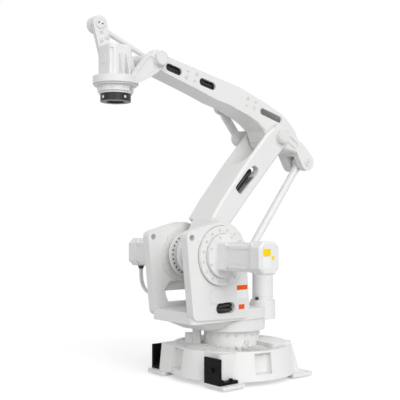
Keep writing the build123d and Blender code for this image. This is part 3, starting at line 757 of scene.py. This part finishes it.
# Base
def build_base():
    """Screws and plug round the neck, and the bolts of the two floor brackets."""
    column_angle = 320.0
    half_column = 24.0
    angles = [18.0 * number + 4.0 for number in range(20)]
    free_angles = [angle for angle in angles if abs(angle - column_angle) > half_column]
    neck = rim_places((0.0, 0.0, 258.0), radius=170.0, angles=free_angles)
    screws("neck_screws", "base", painted_screw, neck, radius=6.5, height=5.0)
    plug_angle = 80.208
    caps("neck_plug", "base", painted_screw, rim_places((0.0, 0.0, 218.0), radius=169.0, angles=[plug_angle]),
         radius=18.0, height=7.0)
    shape = bmesh.new()
    add_hex_bolt(shape, aim((380.0, 260.0, 108.0), X, 12.0), radius=14.0, height=11.0, washer=19.0)
    add_hex_bolt(shape, aim((280.0, -360.0, 108.0), -Y, 20.0), radius=14.0, height=11.0, washer=19.0)
    foot_bolts = ((346.0, 303.0, 346.0), (276.0, 303.0, 276.0),
                  (323.0, -326.0, -326.0), (323.0, -256.0, -256.0))
    for x, y, turn in foot_bolts:
        add_hex_bolt(shape, aim((x, y, 46.0), Z, turn), radius=11.0, height=12.0, washer=15.0)
    add_piece("bracket_bolts", "base", black_steel, shape)


# The two cables of the far motor
CABLE_POINTS = [(268.0, -590.0, 630.5), (269.0, -588.0, 570.5), (282.0, -550.0, 525.5),
                (315.0, -470.0, 498.5), (360.0, -345.0, 488.5), (414.0, -209.0, 494.5)]


def build_cables():
    """A smooth jacket in place of each cable's tube, along the same points."""
    half_spacing = 7.75
    for name, offset in (("motor_cable_power", -half_spacing), ("motor_cable_signal", half_spacing)):
        points = [(x + offset, y, z) for x, y, z in CABLE_POINTS]
        wire = hose(name + "_jacket", "turret", cable_jacket, points, radius=7.0)
        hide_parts(name)


# Floor, lamps and camera
def seen_white(tree):
    """1 for rays that see the surroundings by themselves, in a mirror or through glass, and 0 for light."""
    path = tree.nodes.new("ShaderNodeLightPath")
    seen = add_math(tree, "MAXIMUM", path.outputs["Is Camera Ray"], path.outputs["Is Glossy Ray"])
    return add_math(tree, "MAXIMUM", seen, path.outputs["Is Transmission Ray"])


def build_stage():
    """White floor that keeps the shadow of the arm."""
    half = 40.0
    floor_mesh = bpy.data.meshes.new("studio_floor")
    corners = [(-half, -half, 0), (half, -half, 0), (half, half, 0), (-half, half, 0)]
    floor_mesh.from_pydata(corners, [], [(0, 1, 2, 3)])
    floor = bpy.data.objects.new("studio_floor", floor_mesh)
    bpy.context.scene.collection.objects.link(floor)
    material = bpy.data.materials.new("studio_white")
    material.use_nodes = True
    tree = material.node_tree
    tree.nodes.clear()
    out = tree.nodes.new("ShaderNodeOutputMaterial")
    matte = add_node(tree, "ShaderNodeBsdfDiffuse", None, {"Color": (0.65, 0.65, 0.65, 1)})
    glow = add_node(tree, "ShaderNodeEmission", None, {"Color": (1, 1, 1, 1)},
                    {"Strength": add_math(tree, "MULTIPLY", seen_white(tree), 0.5)})
    both = add_node(tree, "ShaderNodeAddShader", None, None, {0: matte.outputs[0], 1: glow.outputs[0]})
    tree.links.new(both.outputs[0], out.inputs["Surface"])
    floor_mesh.materials.append(material)


def build_world():
    """White surroundings, dimmer as a light than as a background."""
    ambient = 0.5
    world = bpy.data.worlds.new("studio")
    world.use_nodes = True
    bpy.context.scene.world = world
    tree = world.node_tree
    background = tree.nodes["Background"]
    background.inputs["Color"].default_value = (1, 1, 1, 1)
    strength = add_math(tree, "ADD", ambient, add_math(tree, "MULTIPLY", seen_white(tree), 1.0 - ambient))
    tree.links.new(strength, background.inputs["Strength"])


def build_lamp(name, direction, strength, spread):
    lamp = bpy.data.lights.new(name, "SUN")
    lamp.energy = strength
    lamp.angle = math.radians(spread)
    holder = bpy.data.objects.new(name, lamp)
    holder.rotation_euler = Vector(direction).to_track_quat("-Z", "Y").to_euler()
    bpy.context.scene.collection.objects.link(holder)


def build_camera():
    """Camera from the near front corner, low over the floor, as the photo was taken."""
    sensor_width = 36.0
    focal_pixels = 745.55
    picture_width = 400.0
    place = (3.08943, 3.44903, 0.93282)
    forward = Vector((-0.63504, -0.77188, 0.03037)).normalized()
    right = forward.cross(Z).normalized()
    up = right.cross(forward)
    data = bpy.data.cameras.new("photo_camera")
    data.sensor_width = sensor_width
    data.lens = sensor_width * focal_pixels / picture_width
    data.clip_end = 200.0
    holder = bpy.data.objects.new("photo_camera", data)
    holder.matrix_world = Matrix.Translation(place) @ Matrix((right, up, -forward)).transposed().to_4x4()
    bpy.context.scene.collection.objects.link(holder)
    bpy.context.scene.camera = holder


build_gear_housings()
build_side_motors()
build_turning_motor()
build_upright_opening()
build_access_cover()
build_patches()
build_crank()
build_elbow()
build_lower_arm()
build_upper_arm()
build_lever()
build_wrist_house()
build_disc()
build_base()
build_cables()
build_stage()
build_world()
build_lamp("key_lamp", (-0.2, -0.85, -0.55), strength=1.65, spread=50.0)
build_lamp("top_lamp", (0.1, -0.1, -1.0), strength=0.2, spread=60.0)
build_lamp("front_lamp", (-0.85, -0.35, -0.12), strength=0.45, spread=40.0)
build_camera()
bpy.context.scene.view_settings.view_transform = "Standard"
